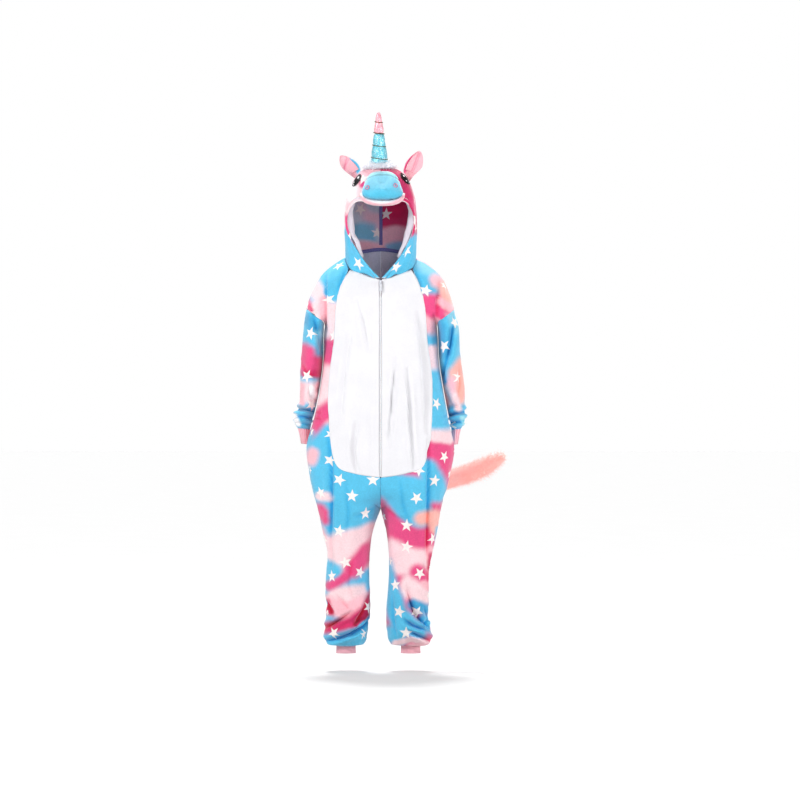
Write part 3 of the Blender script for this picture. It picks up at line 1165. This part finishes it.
# The facings and tapes by finish, width and length; a facing stands in from the hood's edge
facingStand = {"from": 0.001, "most": 0.016, "slope": 1.70}
bandSlots = {"facing": "white_facing", "tape": "navy_tape", "zipTape": "white_zip"}
for name, finish, width, length in (
    ("hood_facing_right", "facing", 0.014, 0.218),
    ("hood_facing_left", "facing", 0.014, 0.218),
    ("hood_seam_tape", "tape", 0.0118, 0.520),
    ("neck_tape", "tape", 0.012, 0.333),
    ("zip_tape_right", "zipTape", 0.0120, 0.660),
    ("zip_tape_left", "zipTape", 0.0120, 0.660),
):
    piece = smoothCopy(name, 1, makeQuads=False, crease=30)
    if finish == "facing":
        points = liftHood(readPoints(piece.data))
        gap = gapsTo(points, readPoints(cloth[name.replace("facing", "edge")].data))
        stand = np.clip(gap - facingStand["from"], 0, facingStand["most"]) * facingStand["slope"]
        points[:, 0] -= np.sign(points[:, 0]) * stand
        writePoints(piece.data, points)
    place(piece, material=finish, replaces=[name], slot=bandSlots[finish])
print("cuffs, facings and tapes made")

# the snout, its lip and its nostrils hang a little lower and broader than they were cut
snoutHang = {"from": 0.295, "reach": 0.050, "drop": 0.0080, "middle": 0.005, "broader": 0.09}


def hangSnout(points, broader=0.0):
    # takes points of the snout to where its weight puts them
    low = softStep(snoutHang["from"] - points[:, 2], 0, snoutHang["reach"])
    broad = softStep(snoutHang["from"] - 0.03 - points[:, 2], 0, snoutHang["reach"])
    points = points.copy()
    points[:, 2] -= snoutHang["drop"] * low
    points[:, 0] += (points[:, 0] - snoutHang["middle"]) * broader * broad
    return points


# The stuffed snout: velboa, sky blue above and deeper below, with an icy band sewn along its top
snout = {
    "middle": (0.006, -0.10, 1.609),
    "bandBelow": 0.012,
    "bandBend": 4.8,
    "bandDepth": 0.0022,
    "bandWide": 0.0022,
    "fuzz": 0.0004,
    "lumps": 0.0010,
    "deeperBelow": 1.605,
}
piece = smoothCopy("muzzle_top", 3, crease=None)
points = readPoints(piece.data)
height = points[:, 2] + neckHeight
top = height.max()
bandLine = top - snout["bandBelow"] - snout["bandBend"] * (points[:, 0] - snout["middle"][0]) ** 2
groove = np.exp(-(((height - bandLine) / snout["bandWide"]) ** 2))
front = softStep(-points[:, 1], 0.06, 0.10)
outward = points - np.array(snout["middle"]) + np.array([0, 0, neckHeight])
outward /= np.linalg.norm(outward, axis=1, keepdims=True)
lumps = snout["fuzz"] * clouds(points, 0.010, 51) + snout["lumps"] * clouds(points, 0.035, 52)
lumps -= snout["bandDepth"] * groove * front
writePoints(piece.data, hangSnout(points + outward * lumps[:, None], snoutHang["broader"]))
colour = np.repeat(dyes["sky"][None, :], len(points), axis=0)
foot = softStep(snout["deeperBelow"] - height + 0.01 * clouds(points, 0.03, 53), -0.02, 0.03)
colour += (dyes["aqua"] - colour) * foot[:, None]
colour += (dyes["ice"] - colour) * (softStep(height - bandLine, -0.001, 0.002) * 0.8)[:, None]
colour *= (1 - 0.35 * groove * front)[:, None]
setColours(piece, colour)
place(piece, material="plush", replaces=["muzzle_top"], slot="cyan_plush")

# The lower lip: white plush with a pink underside, which reaches up a little at its ends
lip = {"pinkBelow": 1.552, "middle": 0.004, "bend": 6.0, "fuzz": 0.0004}
piece = smoothCopy("muzzle_lip", 3, crease=None)
points = readPoints(piece.data)
height = points[:, 2] + neckHeight
writePoints(piece.data, hangSnout(points + lip["fuzz"] * clouds(points, 0.008, 54)[:, None]))
pinkLine = lip["pinkBelow"] + lip["bend"] * (points[:, 0] - lip["middle"]) ** 2
under = softStep(pinkLine - height, -0.004, 0.006)[:, None]
setColours(piece, dyes["white"] + (dyes["pink"] - dyes["white"]) * under)
place(piece, material="plush", replaces=["muzzle_lip"], slot="pale_plush")

# The nostrils: white middles, a pink ring and a violet rim, by how far each begins and is full
nostril = {"swell": 1.22, "ring": (0.0022, 0.0030), "rim": (0.0046, 0.0054)}
for name in ("nostril_right", "nostril_left"):
    piece = smoothCopy(name, 2, crease=None)
    points = readPoints(piece.data)
    middle = points.mean(axis=0)
    away = np.linalg.norm((points - middle)[:, [0, 2]], axis=1)
    ring = softStep(away, *nostril["ring"])[:, None]
    rim = softStep(away, *nostril["rim"])[:, None]
    colour = dyes["white"] + (dyes["hot"] * 0.5 + dyes["pink"] * 0.5 - dyes["white"]) * ring
    setColours(piece, colour + (dyes["violet"] - colour) * rim)
    points = middle + (points - middle) * nostril["swell"]
    writePoints(piece.data, hangSnout(points, snoutHang["broader"]))
    place(piece, material="plush", replaces=[name], slot="pale_plush")
print("snout, lip and nostrils made")

# The eyes: black satin stitch with a white crescent and two white lights, placed on a disc from -1 to 1.
# ring: middle of the dark disc within the crescent; lights: aside, up, size
eyeStitch = {
    "eye_right": {"ring": (0.16, 0.10), "lights": [(0.05, 0.42, 0.17), (-0.30, -0.45, 0.10)]},
    "eye_left": {"ring": (-0.18, 0.05), "lights": [(0.05, 0.40, 0.17), (-0.30, -0.40, 0.10)]},
}
for name, stitch in eyeStitch.items():
    piece = smoothCopy(name, 4, crease=50)
    points = readPoints(piece.data)
    flat = points[:, [0, 2]] - points[:, [0, 2]].mean(axis=0)
    ways = np.linalg.svd(flat, full_matrices=False)[2]
    along = flat @ ways[0]
    across = flat @ ways[1]
    along /= np.abs(along).max()
    across /= np.abs(across).max()
    if ways[0][1] < 0:
        along = -along
    if ways[1][0] < 0:
        across = -across
    colour = np.repeat(dyes["black"][None, :], len(points), axis=0)
    outer = np.hypot(along, across)
    edge = np.hypot(along - stitch["ring"][1], across - stitch["ring"][0])
    crescent = softStep(edge, 0.84, 0.90) * (1 - softStep(outer, 0.82, 0.88))
    colour += (dyes["white"] - colour) * crescent[:, None]
    for aside, up, size in stitch["lights"]:
        spot = np.hypot(along - up, (across - aside) * 0.8)
        colour += (dyes["white"] - colour) * softStep(-spot, -size * 1.15, -size * 0.85)[:, None]
    setColours(piece, colour)
    place(piece, material="stitch", replaces=[name], slot="black_embroidery")
print("eyes stitched")

# The ears: outer cloth turned over to the front all round, in pink, but for a strip on its inner side
earLook = {"wider": 0.20, "outwards": 0.0030, "fold": 0.0036, "foldWide": 0.004}
earRoots = {"right": (-0.078, 0.285), "left": (0.080, 0.285)}  # across and height of each ear's foot


def spreadEar(points, side):
    # the ear spreads from its foot, and leans outwards as it rises
    foot, low = earRoots[side]
    way = 1 if side == "left" else -1
    rise = softStep(points[:, 2], low - 0.01, low + 0.03)
    points = points.copy()
    points[:, 0] += ((points[:, 0] - foot) * earLook["wider"] + way * earLook["outwards"]) * rise
    return points


for side in ("right", "left"):
    name = "ear_outer_" + side
    piece = smoothCopy(name, 3)
    colour = dyeCloth(piece, name)
    mapStars(piece)
    points = readPoints(piece.data)
    facing = softStep(-vertexWays(piece.data)[:, 1], -0.10, 0.25)
    foot, low = earRoots[side]
    middle = foot + 0.35 * (points[:, 2] - low) * np.sign(foot)
    outer = softStep((points[:, 0] - middle) * np.sign(foot), -0.006, 0.004)
    setColours(piece, colour + (dyes["pink"] - colour) * (facing * outer)[:, None])
    writePoints(piece.data, spreadEar(points, side))
    place(piece, material="print", replaces=[name], slot="printed_fleece")
for side in ("right", "left"):
    name = "ear_inner_" + side
    piece = smoothCopy(name, 3)
    points = readPoints(piece.data)
    middle = points.mean(axis=0)
    # a fold runs up the lining from its foot
    aside = points[:, 0] - middle[0] - 0.3 * (points[:, 2] - middle[2])
    fold = np.exp(-((aside / earLook["foldWide"]) ** 2))
    points[:, 1] += earLook["fold"] * fold
    writePoints(piece.data, spreadEar(points, side))
    setColours(piece, dyes["pink"] + (dyes["hot"] - dyes["pink"]) * 0.55 * fold[:, None])
    place(piece, material="plush", replaces=[name], slot="pink_fleece")
print("ears made")

# The horn: two foil cloths stuffed and tied round with gold thread, so the cloth gathers at each tie
hornFeel = {
    "root": (-0.0035, -0.0740, 1.6640),
    "axis": (-0.018, -0.14, 1.0),
    "pleats": 13,
    "pleatDepth": 0.0011,
    "lumps": 0.0006,
    "threadTilt": 0.09,
    "threadSwell": 0.0005,
}
for name, finish, slotName in (
    ("horn_base", "hornBase", "cyan_glitter_cloth"),
    ("horn_tip", "hornTip", "pink_glitter_cloth"),
):
    piece = smoothCopy(name, 3, crease=None)
    points = readPoints(piece.data)
    axis = np.array(hornFeel["axis"])
    axis /= np.linalg.norm(axis)
    root = np.array(hornFeel["root"]) - np.array([0, 0, neckHeight])
    along = (points - root) @ axis
    radial = points - root - along[:, None] * axis
    radius = np.linalg.norm(radial, axis=1)
    turn = np.arctan2(radial[:, 1], radial[:, 0])
    pleat = np.sin(turn * hornFeel["pleats"] + 2.0 * clouds(points, 0.03, 61))
    size = np.clip(radius / 0.02, 0, 1)
    step = radial / np.maximum(radius[:, None], 1e-5)
    lift = hornFeel["pleatDepth"] * (0.5 * pleat - 0.5) + hornFeel["lumps"] * clouds(points, 0.012, 62)
    writePoints(piece.data, points + step * (lift * size)[:, None])
    place(piece, material=finish, replaces=[name], slot=slotName)
for number in range(1, 5):
    name = f"horn_thread_{number}"
    piece = smoothCopy(name, 2, crease=None)
    points = readPoints(piece.data)
    points[:, 2] -= hornFeel["threadTilt"] * (points[:, 0] - points[:, 0].mean())
    writePoints(piece.data, points + vertexWays(piece.data) * hornFeel["threadSwell"])
    place(piece, material="thread", replaces=[name], slot="gold_thread")
print("horn made")


def growFur(name, skin, look, finish):
    # hairs rooted on the skin, each a thin three-sided spike bent by its lean; one mesh for all
    seed = bmesh.new()
    bmesh.ops.create_cone(seed, cap_ends=True, segments=3, radius1=1.0, radius2=0.12, depth=1.0)
    bmesh.ops.translate(seed, verts=seed.verts, vec=(0, 0, 0.5))
    sides = [edge for edge in seed.edges if abs(edge.verts[0].co.z - edge.verts[1].co.z) > 0.5]
    bmesh.ops.subdivide_edges(seed, edges=sides, cuts=2)
    seed.verts.index_update()
    hair = np.array([vert.co[:] for vert in seed.verts])
    shape = [[vert.index for vert in face.verts] for face in seed.faces]
    seed.free()
    pick = np.random.default_rng(look["seed"])
    mesh = skin.data
    areas = np.array([face.area for face in mesh.polygons])
    chosen = pick.choice(len(areas), look["hairs"], p=areas / areas.sum())
    points, faces, strand = [], [], []
    count = len(hair)
    for number, index in enumerate(chosen):
        face = mesh.polygons[index]
        corners = np.array([mesh.vertices[i].co[:] for i in face.vertices])
        u, v = pick.random(2)
        near = corners[0] * (1 - u) + corners[1] * u
        root = near * (1 - v) + (corners[-1] * (1 - u) + corners[2] * u) * v
        normal = np.array(face.normal)
        lean = look["lean"](root) + pick.normal(0, look["stray"], 3)
        length = look["length"] * look["longer"](root) * pick.uniform(0.55, 1.1)
        thick = look["thick"] * pick.uniform(0.7, 1.2)
        way = normal + 0.35 * lean
        way /= np.linalg.norm(way)
        side = np.cross(way, [0.31, 0.52, 0.79])
        side /= np.linalg.norm(side)
        other = np.cross(way, side)
        t = hair[:, 2:3]
        bent = way * t * (1 - 0.35 * t) + lean * t * t * look["bend"]
        width = thick * (1 - 0.75 * t)
        placed = root - normal * 0.0005 + bent * length + (side * hair[:, :1] + other * hair[:, 1:2]) * width
        points.append(placed)
        strand.append(t[:, 0])
        faces += [[number * count + i for i in loop] for loop in shape]
    made = meshOf(name, points, faces)
    layer = made.attributes.new("strand", "FLOAT", "POINT")
    layer.data.foreach_set("value", np.concatenate(strand))
    made.shade_smooth()
    return place(addObject(name, made), material=finish)


def ramp(value, low, reach):
    return min(max((value - low) / reach, 0), 1)


# hairs: how many, how long and thick at the root, how far they bend and stray, how deep the skin sinks
# beneath their ends; the tail is fullest towards its end
tailFur = {
    "seed": 71,
    "hairs": 9500,
    "length": 0.021,
    "thick": 0.00050,
    "bend": 0.60,
    "stray": 0.40,
    "sink": 0.25,
    "longer": lambda root: 0.8 + 0.5 * ramp(root[0], 0.22, 0.13) - 0.45 * max(root[0] - 0.38, 0) / 0.04,
    "swell": lambda root: 0.0025 + 0.0070 * ramp(root[0], 0.24, 0.13),
    "lean": lambda root: np.array([0.42, -0.02, 0.05]),
}
tuftFur = {
    "seed": 72,
    "hairs": 5200,
    "length": 0.018,
    "thick": 0.0007,
    "bend": 0.50,
    "stray": 0.75,
    "sink": 0.30,
    "longer": lambda root: 1.0,
    "swell": lambda root: 0.0,
    "lean": lambda root: np.array([root[0] * 6, -0.15, 0.55]),
}
for name, look, finish, slotName in (
    ("tail", tailFur, "tail", "coral_plush"),
    ("mane_tuft", tuftFur, "tuft", "white_pile"),
):
    skin = smoothCopy(name, 2, crease=None)
    points = readPoints(skin.data)
    # the skin lies under the fur's ends, so it shrinks by most of a hair's length
    rise = np.array([look["swell"](point) for point in points]) - look["length"] * look["sink"]
    writePoints(skin.data, points + vertexWays(skin.data) * rise[:, None])
    layer = skin.data.attributes.new("strand", "FLOAT", "POINT")
    layer.data.foreach_set("value", np.full(len(points), 0.35))
    place(skin, material=finish, replaces=[name], slot=slotName)
    fur = growFur(name + "Fur", skin, look, finish)
print("fur grown")

# The zip: moulded teeth from both tapes in turn, 2.5 mm from one to the next on a side
zipTeeth = {
    "pitch": 0.0025,
    "wide": 0.0042,
    "tall": 0.0017,
    "deep": 0.0026,
    "soft": 0.00035,
    "forward": 0.0010,
    "ends": (0.002, 0.001),
}
chain = cadNodes["zip_chain"]
corners = readPoints(chain.data)
heights = np.unique(np.round(corners[:, 2], 5))
line = []
for level in heights:
    near = corners[np.abs(corners[:, 2] - level) < 0.0016]
    line.append((near[:, 1].mean(), near[:, 2].mean()))
line = np.array(sorted(line, key=lambda place: place[1]))
run = np.concatenate([[0], np.cumsum(np.linalg.norm(np.diff(line, axis=0), axis=1))])
tooth = bmesh.new()
bmesh.ops.create_cube(tooth, size=1.0)
bmesh.ops.scale(tooth, verts=tooth.verts, vec=(zipTeeth["wide"] * 0.62, zipTeeth["deep"], zipTeeth["tall"]))
bmesh.ops.bevel(
    tooth,
    geom=tooth.edges[:],
    offset=zipTeeth["soft"],
    offset_type="OFFSET",
    affect="EDGES",
    segments=1,
    profile=0.5,
    material=-1,
)
tooth.verts.index_update()
oneTooth = np.array([vert.co[:] for vert in tooth.verts])
toothFaces = [[vert.index for vert in face.verts] for face in tooth.faces]
tooth.free()
points, faces = [], []
start, end = zipTeeth["ends"][0], run[-1] - zipTeeth["ends"][1]
for number, step in enumerate(np.arange(start, end, zipTeeth["pitch"] / 2)):
    y, z = np.interp(step, run, line[:, 0]), np.interp(step, run, line[:, 1])
    ahead = np.interp(step + 0.003, run, line[:, 0]) - np.interp(step - 0.003, run, line[:, 0])
    rise = np.interp(step + 0.003, run, line[:, 1]) - np.interp(step - 0.003, run, line[:, 1])
    lean = math.atan2(ahead, rise)
    side = 1 if number % 2 else -1
    turned = oneTooth @ np.array(Matrix.Rotation(-lean, 3, "X")).T
    points.append(turned + np.array([side * zipTeeth["wide"] * 0.19, y - zipTeeth["forward"], z]))
    faces += [[number * len(oneTooth) + i for i in loop] for loop in toothFaces]
piece = addObject("zipTeeth", meshOf("zipTeeth", points, faces))
place(piece, material="teeth", replaces=["zip_chain"], slot="white_zip")
print("zip's teeth:", len(points))
for name in ("zip_slider", "zip_pull_tab"):
    cadNodes[name].data.materials.clear()
    cadNodes[name].data.materials.append(finishes["enamel"])

# The studio: a lit white floor and ground, soft light from all round, a key from the upper left
studio = {"around": 0.36, "floor": "#C6C6C6", "floorGlow": 0.24, "sun": 3.3, "sunSoft": 14.0}
aim = Vector((0, 0, -0.4))
lamps = {
    # place, size, power
    "keyLight": ((-3.6, -3.2, 1.8), 1.1, 150.0),
    "fillLight": ((0.9, -4.8, 0.3), 2.0, 43.0),
    "sideLight": ((4.2, -1.6, 0.6), 1.6, 85.0),
}
# painted studio floor, matt and a little uneven
floorMaterial, floorTree, floorShader = newMaterial("paintedStudioFloor", Roughness=0.85)
floorNoise = addNode(floorTree, "TexNoise", {0: addNode(floorTree, "TexCoord", out="Object"), "Scale": 3.0})
tones = {0: floorNoise, 6: linear("#C2C2C2"), 7: linear(studio["floor"])}
addNode(floorTree, "Mix", tones, out=2, data_type="RGBA", feeds=floorShader.inputs["Base Color"])
# the floor is seen white but throws little light back up
onCamera = addNode(floorTree, "LightPath", out="Is Camera Ray")
glow = {"Value": onCamera, "To Max": studio["floorGlow"]}
addNode(floorTree, "MapRange", glow, feeds=floorShader.inputs["Emission Strength"])
floorShader.inputs["Emission Color"].default_value = (1, 1, 1, 1)
sweep = bmesh.new()
bmesh.ops.create_grid(sweep, x_segments=1, y_segments=1, size=60.0)
bmesh.ops.translate(sweep, verts=sweep.verts, vec=(0, 0, -neckHeight))
mesh = bpy.data.meshes.new("studioFloor")
sweep.to_mesh(mesh)
sweep.free()
mesh.materials.append(floorMaterial)
addObject("studioFloor", mesh)

# the ground behind is seen white, and lights the cloth less than that, so that its folds keep their shade
world = bpy.data.worlds.new("studioWorld")
world.use_nodes = True
ground = world.node_tree.nodes["Background"]
seen = addNode(world.node_tree, "LightPath", out="Is Camera Ray")
strength = {"Value": seen, "To Min": studio["around"], "To Max": 1.0}
addNode(world.node_tree, "MapRange", strength, feeds=ground.inputs["Strength"])
ground.inputs["Color"].default_value = (1, 1, 1, 1)
bpy.context.scene.world = world


def hangLamp(name, kind, spot, power):
    lamp = bpy.data.lights.new(name, kind)
    lamp.energy = power
    light = addObject(name, lamp)
    light.location = spot
    light.rotation_euler = (aim - Vector(spot)).to_track_quat("-Z", "Y").to_euler()
    return lamp


for name, (spot, size, power) in lamps.items():
    lamp = hangLamp(name, "AREA", spot, power)
    lamp.shape = "DISK"
    lamp.size = size
hangLamp("sunLight", "SUN", (-0.10, 1.50, 2.6), studio["sun"]).angle = math.radians(studio["sunSoft"])

lens = bpy.data.cameras.new("camera")
lens.sensor_width = 36.0
lens.lens = 36.0 * cameraPlace["away"] / cameraPlace["viewWidth"]
eye = addObject("camera", lens)
eye.location = (cameraPlace["across"], -cameraPlace["away"], cameraPlace["height"] - neckHeight)
eye.rotation_euler = (math.pi / 2, 0, 0)
bpy.context.scene.camera = eye
bpy.context.scene.view_settings.view_transform = "Standard"
